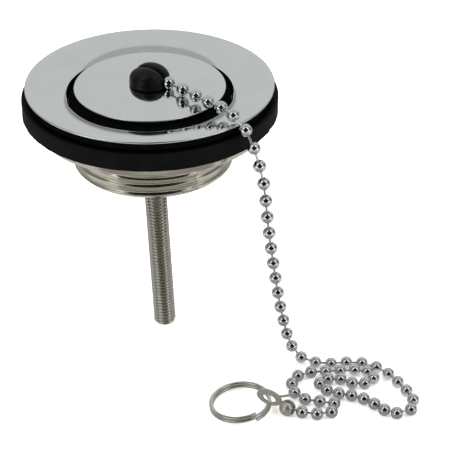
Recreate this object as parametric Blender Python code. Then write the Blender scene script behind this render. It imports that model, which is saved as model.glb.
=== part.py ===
"""Sink drain: flange plate, clamped waste body, rubber plug and bead chain.

Metres, +Z up. The origin is on the drain's axis, at the sink's surface: the underside of the
top seal. The sink's sheet goes between the top seal and the sink gasket. The centre screw
draws the waste body up against them.
"""
import math

import bmesh
import bpy
from mathutils import Matrix, Vector

MM = 0.001

# Gap between pieces that touch
SEAT_GAP = 0.3 * MM
SEGMENTS = 60

# Flange plate: polished sheet, rolled down at its edge and drawn down into the throat
FLANGE_RADIUS = 32.0 * MM
FLANGE_HEIGHT = 2.35 * MM
FLANGE_ROLL = 1.1 * MM
SHEET = 0.8 * MM
DISH_OUTER_RADIUS = FLANGE_RADIUS - 0.9 * MM
LIP_TURN = 0.13 * MM
THROAT_TOP = -0.9 * MM
THROAT_TOP_RADIUS = 21.5 * MM
THROAT_RADIUS = 20.2 * MM
THROAT_TAPER_DEPTH = 5.0 * MM
THROAT_DEPTH = 10.6 * MM
LEDGE_RADIUS = 18.4 * MM

# Strainer grid in the bottom of the throat
GRID_THICKNESS = 1.2 * MM
GRID_HUB_RADIUS = 7.6 * MM
GRID_HUB_RISE = 0.45 * MM
GRID_RIM_WIDTH = 2.0 * MM
GRID_SPOKES = 6
GRID_SPOKE_WIDTH = 2.6 * MM

# Seals above and below the sink
TOP_SEAL_HEIGHT = 0.95 * MM
TOP_SEAL_INNER_RADIUS = FLANGE_RADIUS - 4.9 * MM
TOP_SEAL_OUTER_RADIUS = FLANGE_RADIUS - 0.3 * MM
GASKET_OUTER_RADIUS = 33.0 * MM
GASKET_INNER_RADIUS = 23.0 * MM
GASKET_HEIGHT = 4.9 * MM
GASKET_ROUND = 0.5 * MM

# Waste body: rim, shoulder, shallow cone and threaded collar
BODY_RIM_RADIUS = 30.4 * MM
BODY_RIM_HEIGHT = 2.7 * MM
BODY_CONE_HEIGHT = 5.3 * MM
BODY_CONE_END_RADIUS = 21.5 * MM
BODY_WALL = 1.5 * MM
COLLAR_RADIUS = 20.95 * MM
COLLAR_LENGTH = 6.85 * MM
COLLAR_CHAMFER = 1.3 * MM
COLLAR_THREAD_PITCH = 2.309 * MM
COLLAR_THREAD_DEPTH = 1.0 * MM
COLLAR_CREST_WIDTH = 0.5 * MM
COLLAR_BORE_RADIUS = 17.8 * MM
BRIDGE_WIDTH = 8.0 * MM
BRIDGE_THICKNESS = 1.8 * MM
BRIDGE_BOSS_RADIUS = 5.6 * MM
BRIDGE_BOSS_HEIGHT = 4.2 * MM

# Centre screw, M6, hanging a little askew
SCREW_RADIUS = 3.0 * MM
SCREW_LENGTH = 65.0 * MM
SCREW_TIP_CHAMFER = 0.8 * MM
SCREW_HEAD_RADIUS = 6.0 * MM
SCREW_HEAD_HEIGHT = 2.0 * MM
SCREW_SLOT_WIDTH = 1.6 * MM
SCREW_SLOT_DEPTH = 1.1 * MM
SCREW_LEAN = math.radians(2.45)
SCREW_HEAD_SEAT = SEAT_GAP + SCREW_HEAD_RADIUS * math.sin(SCREW_LEAN)

# Plug: polished disc, rubber stopper and chain knob
CAP_RADIUS = 19.55 * MM
CAP_TOP = 1.4 * MM
CAP_THICKNESS = 0.75 * MM
CAP_ROUND = 0.3 * MM
CAP_RISE = 0.25 * MM
CAP_RISE_RADIUS = 12.5 * MM
STOPPER_TOP_RADIUS = 19.0 * MM
STOPPER_LIP_DROP = 1.3 * MM
STOPPER_LIP_HEIGHT = 1.2 * MM
STOPPER_SKIRT_RADIUS = 18.0 * MM
STOPPER_HEIGHT = 5.0 * MM
STOPPER_WEB = 2.4 * MM
STOPPER_SKIRT_WALL = 2.6 * MM
KNOB_RADIUS = 5.2 * MM
KNOB_HEIGHT = 5.3 * MM
KNOB_FOOT_RADIUS = 5.0 * MM
KNOB_FOOT_HEIGHT = 0.6 * MM
KNOB_SLOT_WIDTH = 1.6 * MM
KNOB_STEM_RADIUS = 2.6 * MM
KNOB_BARB_RADIUS = 4.4 * MM
KNOB_BARB_HEIGHT = 1.5 * MM

# Bead chain
BEAD_RADIUS = 1.5 * MM
LINK_RADIUS = 0.45 * MM
BEAD_CLEARANCE = 0.35 * MM

# Chain connector and split ring
CUP_RADIUS = 2.15 * MM
CUP_WALL = 0.4 * MM
CUP_MOUTH_HEIGHT = 1.7 * MM
CUP_SWING = math.radians(35.0)
STRIP_THICKNESS = 0.5 * MM
NECK_WIDTH = 1.6 * MM
ARM_WIDTH = 1.0 * MM
EYE_RADIUS = 3.1 * MM
EYE_HOLE_RADIUS = 2.05 * MM
EYE_NORMAL = Vector((-0.42, -0.85, -0.32)).normalized()
RING_RADIUS = 7.6 * MM
RING_WIRE = 0.85 * MM
RING_TURNS = 2
RING_TURN_GAP = 0.42 * MM
RING_TILT = math.radians(6.6)

# Levels that follow from the sizes
FLANGE_LOW = FLANGE_HEIGHT - FLANGE_ROLL
GASKET_TOP = -SEAT_GAP
GASKET_LOW = GASKET_TOP - GASKET_HEIGHT
BODY_TOP = GASKET_LOW - SEAT_GAP
CONE_TOP = BODY_TOP - BODY_RIM_HEIGHT
CONE_LOW = CONE_TOP - BODY_CONE_HEIGHT
COLLAR_LOW = CONE_LOW - COLLAR_LENGTH
GRID_LOW = -THROAT_DEPTH + SHEET + SEAT_GAP
GRID_TOP = GRID_LOW + GRID_THICKNESS
HUB_TOP = GRID_TOP + GRID_HUB_RISE
HEAD_LOW = HUB_TOP + SCREW_HEAD_SEAT
SCREW_TIP = HEAD_LOW - SCREW_LENGTH
FLOOR = SCREW_TIP
BEAD_LEVEL = FLOOR + BEAD_RADIUS
STOPPER_TOP = CAP_TOP - CAP_THICKNESS - SEAT_GAP
KNOB_LOW = CAP_TOP + CAP_RISE + SEAT_GAP
BRIDGE_MIDDLE = CONE_LOW - 0.45 * COLLAR_LENGTH
SCREW_PIVOT = Vector((-0.5 * MM, 0.0, -2.0 * MM))

# Route of the bead chain, in millimetres: the middles of chosen beads, from the knob to the cup
FLANGE_ROUTE = [
    (0.5, -0.3, 3.6), (5.0, -3.1, 3.45), (8.1, -6.4, 3.35), (11.2, -10.2, 3.5),
    (14.1, -14.4, 3.8), (17.2, -18.5, 4.3), (20.0, -22.8, 4.3), (22.9, -26.2, 1.9),
]
HANGING_ROUTE = [
    (25.0, -27.4, -2.8), (27.3, -28.2, -11.8), (28.3, -27.9, -21.2), (29.5, -27.0, -31.2),
    (30.9, -25.9, -41.4), (32.5, -24.8, -51.6), (34.6, -23.4, -61.6), (36.2, -22.6, -66.4),
    (38.7, -22.2, -70.2),
]
OUTER_ROUTE = [
    (42.2, -24.0), (46.1, -24.8), (50.9, -24.5), (55.4, -25.2), (59.3, -27.8), (62.1, -31.4),
    (63.9, -35.3), (65.6, -39.1), (66.1, -43.0), (64.4, -45.9), (61.1, -46.7),
]
INNER_ROUTE = [
    (58.1, -45.2), (55.2, -41.9), (51.7, -39.3), (48.3, -38.3), (45.4, -37.0), (43.1, -35.2),
    (42.7, -32.6), (45.1, -31.4), (48.2, -31.7), (51.0, -33.5), (54.3, -34.0), (57.0, -31.9),
    (55.8, -28.9), (52.5, -28.0),
]
END_ROUTE = [
    (47.8, -28.1), (43.5, -28.1), (39.2, -28.6), (36.1, -30.8), (35.1, -34.6), (36.3, -38.1),
    (39.2, -40.4), (42.7, -41.0), (45.5, -42.0), (44.9, -45.0), (41.7, -46.0), (37.4, -45.3),
]
FLANGE_BEAD_COUNT = 8
HANGING_BEAD_COUNT = 15
OUTER_BEAD_COUNT = 11
INNER_BEAD_COUNT = 14
END_BEAD_COUNT = 13
CUP_PLACE = Vector((33.1, -43.8)) * MM
EYE_PLACE = Vector((28.7, -40.8)) * MM
RING_PLACE = Vector((21.1, -40.65)) * MM
CUP_MIDDLE = Vector((*CUP_PLACE, FLOOR + CUP_RADIUS + 0.05 * MM))
EYE_MIDDLE = Vector((*EYE_PLACE, FLOOR + EYE_RADIUS + 0.05 * MM))
RING_AT_EYE = EYE_MIDDLE - Vector((0.0, 0.0, 0.3 * MM))
ARM_ROUTE = [Vector((34.0, -40.7, 3.9)) * MM, Vector((35.4, -39.9, 3.1)) * MM]


def clear_scene():
    for obj in list(bpy.data.objects):
        bpy.data.objects.remove(obj, do_unlink=True)


def material(name, color, roughness, metallic):
    """A plain finish for one family of pieces."""
    mat = bpy.data.materials.new(name)
    mat.use_nodes = True
    shader = mat.node_tree.nodes["Principled BSDF"]
    shader.inputs["Base Color"].default_value = (*color, 1.0)
    shader.inputs["Roughness"].default_value = roughness
    shader.inputs["Metallic"].default_value = metallic
    mat.diffuse_color = (*color, 1.0)
    return mat


def empty(name, location):
    """A guide that marks a joint's axis."""
    guide = bpy.data.objects.new(name, None)
    guide.location = location
    guide.empty_display_size = 0.005
    bpy.context.collection.objects.link(guide)
    return guide


def link_mesh(name, bm, mat, parent=None):
    """Turn a bmesh into a named object with smooth round faces."""
    bmesh.ops.remove_doubles(bm, verts=bm.verts, dist=1e-6)
    bmesh.ops.recalc_face_normals(bm, faces=bm.faces)
    mesh = bpy.data.meshes.new(name)
    bm.to_mesh(mesh)
    bm.free()
    mesh.shade_smooth()
    mesh.set_sharp_from_angle(angle=math.radians(35.0))
    obj = bpy.data.objects.new(name, mesh)
    bpy.context.collection.objects.link(obj)
    if mat:
        obj.data.materials.append(mat)
    obj.parent = parent
    return obj


def arc(middle_r, middle_z, radius, start, end, steps):
    """Points of a round stretch of a turned profile. Angles are in degrees from +R to +Z."""
    points = []
    for i in range(steps + 1):
        angle = math.radians(start + (end - start) * i / steps)
        points.append((middle_r + radius * math.cos(angle), middle_z + radius * math.sin(angle)))
    return points


def spin_profile(profile, segments=SEGMENTS):
    """Turn a profile of (radius, height) points about Z. It closes on itself or on the axis."""
    bm = bmesh.new()
    verts = [bm.verts.new((r, 0.0, z)) for r, z in profile]
    edges = [bm.edges.new(pair) for pair in zip(verts, verts[1:])]
    if min(profile[0][0], profile[-1][0]) > 1e-7:
        edges.append(bm.edges.new((verts[-1], verts[0])))
    bmesh.ops.spin(bm, geom=verts + edges, cent=(0, 0, 0), axis=(0, 0, 1),
                   angle=2 * math.pi, steps=segments, use_merge=True)
    return bm


def turned(name, profile, mat, parent=None, segments=SEGMENTS):
    return link_mesh(name, spin_profile(profile, segments), mat, parent)


def cutter(name, bm):
    """A hidden shape that a Boolean takes away or adds."""
    shape = link_mesh(name, bm, None)
    shape.hide_render = True
    shape.display_type = "WIRE"
    return shape


def combine(target, tool, operation="DIFFERENCE"):
    boolean = target.modifiers.new(tool.name, "BOOLEAN")
    boolean.operation = operation
    boolean.solver = "EXACT"
    boolean.object = tool


def box_bmesh(size, matrix):
    bm = bmesh.new()
    bmesh.ops.create_cube(bm, size=1.0)
    bmesh.ops.scale(bm, vec=size, verts=bm.verts)
    bmesh.ops.transform(bm, matrix=matrix, verts=bm.verts)
    return bm


def cylinder_bmesh(radius, height, matrix, segments=32):
    bm = bmesh.new()
    bmesh.ops.create_cone(bm, cap_ends=True, segments=segments, radius1=radius,
                          radius2=radius, depth=height, matrix=matrix)
    return bm


def prism_bmesh(outline, low, high):
    """An upright prism over a plan outline of (x, y) points."""
    bm = bmesh.new()
    face = bm.faces.new([bm.verts.new((x, y, low)) for x, y in outline])
    raised = bmesh.ops.extrude_face_region(bm, geom=[face])["geom"]
    bmesh.ops.translate(bm, vec=(0, 0, high - low),
                        verts=[v for v in raised if isinstance(v, bmesh.types.BMVert)])
    return bm


def face_profile(inset, steps):
    """The plate's face from its edge in to the throat, or the surface an inset under it.

    Height rises from the throat's top as the logarithm of the distance from the throat's wall,
    so the dish is nearly level outside and steepens into the lip.
    """
    reach = 1.0 + (DISH_OUTER_RADIUS - THROAT_TOP_RADIUS) / LIP_TURN
    rise = (FLANGE_HEIGHT - THROAT_TOP) / math.log(reach)
    points = []
    for i in range(steps + 1):
        share = 1.0 - i / steps
        outward = LIP_TURN * (reach ** share - 1.0)
        slope = rise / (outward + LIP_TURN)
        tilt = math.hypot(1.0, slope)
        points.append((THROAT_TOP_RADIUS + outward + inset * slope / tilt,
                       THROAT_TOP + rise * math.log(reach) * share - inset / tilt))
    return points


def flange_plate(mat):
    """Rolled edge, dished face, rounded lip, tapered throat and the ledge that holds the grid."""
    roll = SHEET
    outside = arc(FLANGE_RADIUS - roll, FLANGE_HEIGHT - roll, roll, 90, 0, 4)
    face = face_profile(0.0, 9)
    under = face_profile(SHEET, 5)
    taper_z = THROAT_TOP - THROAT_TAPER_DEPTH
    profile = outside + [
        (FLANGE_RADIUS, FLANGE_LOW),
        (FLANGE_RADIUS - SHEET, FLANGE_LOW),
    ]
    profile += under
    profile += [
        (THROAT_RADIUS + SHEET, taper_z),
        (THROAT_RADIUS + SHEET, -THROAT_DEPTH + 0.4 * MM),
        (THROAT_RADIUS + SHEET - 0.4 * MM, -THROAT_DEPTH),
        (LEDGE_RADIUS, -THROAT_DEPTH),
        (LEDGE_RADIUS, -THROAT_DEPTH + SHEET),
        (THROAT_RADIUS, -THROAT_DEPTH + SHEET),
        (THROAT_RADIUS, taper_z),
    ]
    profile += list(reversed(face))
    return turned("flange_plate", profile, mat)


def strainer_grid(mat):
    """Pressed disc with a raised hub and kidney-shaped openings between its spokes."""
    radius = THROAT_RADIUS - SEAT_GAP
    hole = SCREW_RADIUS + SEAT_GAP + abs(SCREW_PIVOT.z - HUB_TOP) * math.sin(SCREW_LEAN)
    profile = [
        (hole, GRID_LOW), (hole, HUB_TOP), (GRID_HUB_RADIUS - 0.8 * MM, HUB_TOP),
        (GRID_HUB_RADIUS, GRID_TOP), (radius - 0.2 * MM, GRID_TOP), (radius, GRID_TOP - 0.2 * MM),
        (radius, GRID_LOW),
    ]
    grid = turned("strainer_grid", profile, mat, segments=48)
    inner = GRID_HUB_RADIUS + 0.9 * MM
    outer = LEDGE_RADIUS - GRID_RIM_WIDTH + 0.9 * MM
    for i in range(GRID_SPOKES):
        start = 2 * math.pi * i / GRID_SPOKES
        end = 2 * math.pi * (i + 1) / GRID_SPOKES
        outline = []
        for r, first, last in ((inner, start, end), (outer, end, start)):
            trim = math.copysign(0.5 * GRID_SPOKE_WIDTH / r, last - first)
            for k in range(7):
                angle = first + trim + (last - first - 2 * trim) * k / 6
                outline.append((r * math.cos(angle), r * math.sin(angle)))
        opening = prism_bmesh(outline, GRID_LOW - 1.0 * MM, GRID_TOP + 1.0 * MM)
        combine(grid, cutter(f"grid_opening_{i + 1}", opening))
    return grid


def top_seal(mat):
    inner, outer, height = TOP_SEAL_INNER_RADIUS, TOP_SEAL_OUTER_RADIUS, TOP_SEAL_HEIGHT
    round_ = 0.2 * MM
    profile = [(outer, 0.0), (outer, height - round_), (outer - round_, height),
               (inner, height), (inner, 0.0)]
    return turned("top_seal", profile, mat, segments=56)


def sink_gasket(mat, parent):
    """Thick ring with rounded outer edges and a thin flash line at its foot."""
    inner, outer, r = GASKET_INNER_RADIUS, GASKET_OUTER_RADIUS, GASKET_ROUND
    profile = arc(outer - r, GASKET_TOP - r, r, 90, 0, 2)
    profile += arc(outer - r, GASKET_LOW + r, r, 0, -90, 2)
    profile += [(inner, GASKET_LOW), (inner, GASKET_TOP)]
    return turned("sink_gasket", profile, mat, parent, segments=56)


def screw_axis_matrix(distance):
    """Place on the centre screw's own leaning axis, a distance below its pivot."""
    lean = Matrix.Rotation(-SCREW_LEAN, 4, "Y")
    return Matrix.Translation(SCREW_PIVOT) @ lean @ Matrix.Translation((0, 0, -distance))


def waste_body(mat, parent):
    """Cup with a rim that bites the gasket, cone, grooved collar, and a tapped bridge."""
    cone_slope = (BODY_RIM_RADIUS - BODY_CONE_END_RADIUS) / BODY_CONE_HEIGHT
    shoulder = 0.8 * MM
    inner_rim = BODY_RIM_RADIUS - BODY_WALL
    inner_cone_top = CONE_TOP - 0.2 * MM
    inner_end = BODY_CONE_END_RADIUS - BODY_WALL
    inner_cone_low = inner_cone_top - (inner_rim - inner_end) / cone_slope
    profile = [
        (BODY_RIM_RADIUS - 0.3 * MM, BODY_TOP),
        (BODY_RIM_RADIUS, BODY_TOP - 0.3 * MM),
        (BODY_RIM_RADIUS, CONE_TOP + shoulder * 0.5),
        (BODY_RIM_RADIUS - shoulder * 0.35, CONE_TOP - shoulder * 0.1),
        (BODY_CONE_END_RADIUS, CONE_LOW + 0.25 * MM),
        (BODY_CONE_END_RADIUS, CONE_LOW),
        (COLLAR_RADIUS - COLLAR_CHAMFER, CONE_LOW - 0.5 * MM),
    ]
    crest = COLLAR_LOW + COLLAR_CHAMFER + COLLAR_CREST_WIDTH / 2
    for k in (2, 1, 0):
        middle = crest + k * COLLAR_THREAD_PITCH
        profile.append((COLLAR_RADIUS, middle + COLLAR_CREST_WIDTH / 2))
        profile.append((COLLAR_RADIUS, middle - COLLAR_CREST_WIDTH / 2))
        if k:
            profile.append((COLLAR_RADIUS - COLLAR_THREAD_DEPTH, middle - COLLAR_THREAD_PITCH / 2))
    profile += [
        (COLLAR_RADIUS - COLLAR_CHAMFER, COLLAR_LOW),
        (COLLAR_BORE_RADIUS, COLLAR_LOW),
        (COLLAR_BORE_RADIUS, inner_cone_low - 0.6 * MM),
        (inner_end, inner_cone_low),
        (inner_rim, inner_cone_top),
        (inner_rim, BODY_TOP),
    ]
    body = turned("waste_body", profile, mat, parent)
    overlap = 0.8 * MM
    span = 2 * (COLLAR_BORE_RADIUS + overlap)
    middle = Matrix.Translation((0, 0, BRIDGE_MIDDLE))
    bridge = cutter("bridge_bar", box_bmesh((span, BRIDGE_WIDTH, BRIDGE_THICKNESS), middle))
    combine(body, bridge, "UNION")
    depth = (SCREW_PIVOT.z - BRIDGE_MIDDLE) / math.cos(SCREW_LEAN)
    boss = cylinder_bmesh(BRIDGE_BOSS_RADIUS, BRIDGE_BOSS_HEIGHT, screw_axis_matrix(depth), 24)
    combine(body, cutter("bridge_boss", boss), "UNION")
    tapping = cylinder_bmesh(SCREW_RADIUS + SEAT_GAP, 3 * BRIDGE_BOSS_HEIGHT,
                             screw_axis_matrix(depth), 24)
    combine(body, cutter("bridge_tapping", tapping))
    return body


def centre_screw(mat, parent):
    """Pan head with a slot, plain shank at the thread's outer size, and a chamfered tip."""
    head_low = HEAD_LOW - SCREW_PIVOT.z
    head_top = head_low + SCREW_HEAD_HEIGHT
    tip = head_low - SCREW_LENGTH
    profile = [
        (0.0, tip), (SCREW_RADIUS - SCREW_TIP_CHAMFER, tip),
        (SCREW_RADIUS, tip + SCREW_TIP_CHAMFER),
        (SCREW_RADIUS, head_low), (SCREW_HEAD_RADIUS, head_low),
        (SCREW_HEAD_RADIUS, head_low + 0.9 * MM),
        (SCREW_HEAD_RADIUS - 0.7 * MM, head_top - 0.4 * MM),
        (SCREW_HEAD_RADIUS - 2.2 * MM, head_top), (0.0, head_top),
    ]
    screw = turned("centre_screw", profile, mat, parent, segments=32)
    slot_middle = Matrix.Translation((0, 0, head_top))
    slot = box_bmesh((4 * SCREW_HEAD_RADIUS, SCREW_SLOT_WIDTH, 2 * SCREW_SLOT_DEPTH), slot_middle)
    slot_cutter = cutter("screw_slot", slot)
    slot_cutter.parent = parent
    combine(screw, slot_cutter)
    return screw


def plug_cap(mat, parent):
    """Polished disc that rises a little to the knob, with a rounded edge and a stem hole."""
    hole = KNOB_STEM_RADIUS + SEAT_GAP
    low = CAP_TOP - CAP_THICKNESS
    profile = arc(CAP_RADIUS - CAP_ROUND, CAP_TOP - CAP_ROUND, CAP_ROUND, 90, 0, 3)
    profile += [(CAP_RADIUS, low), (hole, low), (hole, CAP_TOP + CAP_RISE),
                (KNOB_RADIUS, CAP_TOP + CAP_RISE), (0.65 * CAP_RISE_RADIUS, CAP_TOP + 0.6 * CAP_RISE),
                (CAP_RISE_RADIUS, CAP_TOP)]
    return turned("plug_cap", profile, mat, parent, segments=56)


def plug_seal(mat, parent):
    """Rubber stopper: neck under the disc, sealing lip, skirt, and a web for the knob's stem."""
    hole = KNOB_STEM_RADIUS + SEAT_GAP
    lip_z = STOPPER_TOP - STOPPER_LIP_DROP
    taper = (THROAT_TOP_RADIUS - THROAT_RADIUS) / THROAT_TAPER_DEPTH
    seat = THROAT_TOP_RADIUS - taper * max(0.0, THROAT_TOP - lip_z + STOPPER_LIP_HEIGHT)
    lip_radius = seat - SEAT_GAP
    low = STOPPER_TOP - STOPPER_HEIGHT
    web_low = STOPPER_TOP - STOPPER_WEB
    inside = STOPPER_SKIRT_RADIUS - STOPPER_SKIRT_WALL
    profile = [
        (hole, STOPPER_TOP), (STOPPER_TOP_RADIUS, STOPPER_TOP),
        (STOPPER_TOP_RADIUS, lip_z + 0.4 * MM), (lip_radius, lip_z),
        (lip_radius, lip_z - STOPPER_LIP_HEIGHT), (STOPPER_SKIRT_RADIUS + 0.5 * MM, low + 1.0 * MM),
        (STOPPER_SKIRT_RADIUS - 0.4 * MM, low), (inside, low), (inside, web_low), (hole, web_low),
    ]
    return turned("plug_seal", profile, mat, parent, segments=56)


def chain_knob(mat, parent):
    """Two-lobed rubber knob over the disc, with its slot, stem and barb under the stopper."""
    barb_top = STOPPER_TOP - STOPPER_WEB - SEAT_GAP
    barb_low = barb_top - KNOB_BARB_HEIGHT
    top = KNOB_LOW + KNOB_HEIGHT
    dome_z = top - 0.72 * KNOB_RADIUS
    profile = [
        (0.0, barb_low), (KNOB_STEM_RADIUS, barb_low), (KNOB_BARB_RADIUS, barb_top - 0.5 * MM),
        (KNOB_BARB_RADIUS, barb_top), (KNOB_STEM_RADIUS, barb_top), (KNOB_STEM_RADIUS, KNOB_LOW),
        (KNOB_FOOT_RADIUS, KNOB_LOW), (KNOB_RADIUS, KNOB_LOW + KNOB_FOOT_HEIGHT),
    ]
    for i in range(7):
        angle = math.radians(90.0 * i / 6)
        profile.append((KNOB_RADIUS * math.cos(angle), dome_z + 0.72 * KNOB_RADIUS * math.sin(angle)))
    profile[-1] = (0.0, top)
    knob = turned("chain_knob", profile, mat, parent, segments=32)
    trapped = Vector(FLANGE_ROUTE[0]) * MM
    mouth = Vector(FLANGE_ROUTE[1]) * MM
    for name, middle in (("knob_pocket", trapped), ("knob_mouth", mouth)):
        bm = bmesh.new()
        bmesh.ops.create_uvsphere(bm, u_segments=16, v_segments=10, radius=BEAD_RADIUS + BEAD_CLEARANCE,
                                  matrix=Matrix.Translation(middle))
        combine(knob, cutter(name, bm))
    direction = mouth - trapped
    turn = Matrix.Rotation(math.atan2(direction.y, direction.x), 4, "Z")
    slot_low = trapped.z - KNOB_SLOT_WIDTH / 2
    height = 2 * KNOB_HEIGHT
    place = Matrix.Translation((trapped.x, trapped.y, slot_low + height / 2)) @ turn
    combine(knob, cutter("knob_slot", box_bmesh((4 * KNOB_RADIUS, KNOB_SLOT_WIDTH, height), place)))
    return knob


def spline_point(before, start, end, after, t):
    """Catmull-Rom point between start and end."""
    return 0.5 * (2 * start + (end - before) * t + (2 * before - 5 * start + 4 * end - after) * t * t
                  + (3 * start - before - 3 * end + after) * t ** 3)


def smooth_route(points, steps=12):
    """A smooth curve through every point of a route."""
    padded = [2 * points[0] - points[1]] + points + [2 * points[-1] - points[-2]]
    curve = []
    for i in range(1, len(padded) - 2):
        for k in range(steps):
            curve.append(spline_point(*padded[i - 1:i + 3], k / steps))
    curve.append(points[-1].copy())
    return curve


def even_points(curve, count, first=0.0, last=0.0):
    """Points spaced evenly along a curve, leaving out a length at each end."""
    lengths = [0.0]
    for a, b in zip(curve, curve[1:]):
        lengths.append(lengths[-1] + (b - a).length)
    result = []
    i = 0
    for n in range(count):
        target = first + (lengths[-1] - first - last) * n / (count - 1)
        while i < len(curve) - 2 and lengths[i + 1] < target:
            i += 1
        step = lengths[i + 1] - lengths[i]
        result.append(curve[i].lerp(curve[i + 1], (target - lengths[i]) / step))
    return result


def chain_routes():
    """Bead middles of each stretch. Each takes up the route where the one before stops."""
    floor_routes = [[(x, y, BEAD_LEVEL / MM) for x, y in route]
                    for route in (OUTER_ROUTE, INNER_ROUTE, END_ROUTE)]
    floor_routes[-1].append(tuple(CUP_MIDDLE / MM))
    routes = [FLANGE_ROUTE, HANGING_ROUTE] + floor_routes
    counts = [FLANGE_BEAD_COUNT, HANGING_BEAD_COUNT, OUTER_BEAD_COUNT, INNER_BEAD_COUNT, END_BEAD_COUNT]
    stretches = []
    last = None
    for route, count in zip(routes, counts):
        points = [Vector(p) * MM for p in route]
        if last is None:
            beads = even_points(smooth_route(points), count)
        else:
            beads = even_points(smooth_route([last] + points), count + 1)[1:]
        last = beads[-1]
        stretches.append(beads)
    return stretches


def bead_string(name, beads, before, after, mat, parent):
    """One stretch of chain: a tube along the beads, swollen to a ball at each."""
    curve = bpy.data.curves.new(name, "CURVE")
    curve.dimensions = "3D"
    curve.bevel_depth = LINK_RADIUS
    curve.bevel_resolution = 2
    curve.use_fill_caps = True
    stations = []
    shoulder = math.sqrt(BEAD_RADIUS ** 2 - LINK_RADIUS ** 2)
    half = SEAT_GAP / 2
    if before:
        step = (beads[0] - before).normalized() * half
        stations.append(((before + beads[0]) / 2 + step, LINK_RADIUS))
    for i, bead in enumerate(beads):
        back = beads[i - 1] if i else bead
        ahead = beads[i + 1] if i + 1 < len(beads) else bead
        if i == 0 and before:
            back, ahead = before, bead
        if i + 1 == len(beads) and after:
            back, ahead = bead, after
        along = (ahead - back).normalized()
        for offset in (-1.0, -0.62, 0.0, 0.62, 1.0):
            distance = offset * shoulder
            radius = max(LINK_RADIUS, math.sqrt(BEAD_RADIUS ** 2 - distance ** 2))
            stations.append((bead + along * distance, radius))
    if after:
        step = (after - beads[-1]).normalized() * half
        stations.append(((after + beads[-1]) / 2 - step, LINK_RADIUS))
    spline = curve.splines.new("POLY")
    spline.points.add(len(stations) - 1)
    for point, (place, radius) in zip(spline.points, stations):
        point.co = (*place, 1.0)
        point.radius = radius / LINK_RADIUS
    obj = bpy.data.objects.new(name, curve)
    bpy.context.collection.objects.link(obj)
    obj.data.materials.append(mat)
    obj.parent = parent
    return obj


def bead_chain(mat, parent):
    names = ["chain_over_flange", "chain_hanging", "chain_pile_outer", "chain_pile_inner",
             "chain_pile_end"]
    stretches = chain_routes()
    for i, (name, beads) in enumerate(zip(names, stretches)):
        before = stretches[i - 1][-1] if i else None
        after = stretches[i + 1][0] if i + 1 < len(stretches) else None
        bead_string(name, beads, before, after, mat, parent)
    return stretches[-1]


def strip_bmesh(start, end, width):
    """A flat bar from start to end, standing on its edge."""
    along = (end - start).normalized()
    across = along.cross(Vector((0, 0, 1))).normalized()
    frame = Matrix((along, across, along.cross(across))).transposed().to_4x4()
    place = Matrix.Translation((start + end) / 2) @ frame
    return box_bmesh(((end - start).length, STRIP_THICKNESS, width), place)


def mouth_bmesh(along):
    """Wedge that lets the last link swing level inside the cup's wall."""
    start = math.atan2(along.y, along.x)
    half = 0.5 * CUP_MOUTH_HEIGHT
    reach = 2 * CUP_RADIUS
    outline = [Vector((-half * math.cos(start - CUP_SWING / 2), -half * math.sin(start - CUP_SWING / 2)))]
    for i in range(5):
        angle = start - CUP_SWING * i / 4
        ahead = Vector((math.cos(angle), math.sin(angle)))
        aside = Vector((-ahead.y, ahead.x)) * half
        if i == 0:
            outline.append(aside)
            outline.append(ahead * reach + aside)
        outline.append(ahead * reach)
        if i == 4:
            outline.append(ahead * reach - aside)
            outline.append(-aside)
    return prism_bmesh(outline, -half, half)


def chain_connector(mat, last_beads, parent):
    """Folded strip: a cup round the last bead, a neck and a spare arm, and an eye for the ring."""
    origin = CUP_MIDDLE
    middle = EYE_MIDDLE - origin
    turn = EYE_NORMAL.to_track_quat("Z", "Y").to_matrix().to_4x4()
    place = Matrix.Translation(middle) @ turn
    connector = link_mesh("chain_connector", cylinder_bmesh(EYE_RADIUS, STRIP_THICKNESS, place, 28),
                          mat, parent)
    level = Vector((1, 0, 0)) - EYE_NORMAL * EYE_NORMAL.x
    upright = Vector((0, 0, 1)) - EYE_NORMAL * EYE_NORMAL.z
    toward = -middle - EYE_NORMAL * EYE_NORMAL.dot(-middle)
    neck_start = middle + toward.normalized() * (EYE_RADIUS - 0.5 * MM)
    neck_end = neck_start.normalized() * (CUP_RADIUS - 0.2 * MM)
    joint = middle + level.normalized() * 1.9 * MM + upright.normalized() * 1.6 * MM
    arm = [joint] + [Vector((p.x, p.y, FLOOR + p.z)) - origin for p in ARM_ROUTE]
    elbow = arm[1] + (arm[1] - arm[0]).normalized() * 0.3 * MM
    cup = bmesh.new()
    bmesh.ops.create_uvsphere(cup, u_segments=20, v_segments=12, radius=CUP_RADIUS)
    pieces = [
        ("connector_cup", cup),
        ("connector_neck", strip_bmesh(neck_start, neck_end, NECK_WIDTH)),
        ("connector_arm", strip_bmesh(arm[0], elbow, ARM_WIDTH)),
        ("connector_arm_end", strip_bmesh(arm[1], arm[2], ARM_WIDTH)),
    ]
    for name, bm in pieces:
        tool = cutter(name, bm)
        tool.parent = parent
        combine(connector, tool, "UNION")
    pocket = bmesh.new()
    bmesh.ops.create_uvsphere(pocket, u_segments=16, v_segments=10, radius=CUP_RADIUS - CUP_WALL)
    hollows = [
        ("cup_pocket", pocket),
        ("cup_mouth", mouth_bmesh(last_beads[-2] - last_beads[-1])),
        ("eye_bore", cylinder_bmesh(EYE_HOLE_RADIUS, 6 * STRIP_THICKNESS, place, 24)),
    ]
    for name, bm in hollows:
        tool = cutter(name, bm)
        tool.parent = parent
        combine(connector, tool)
    return connector


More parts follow.
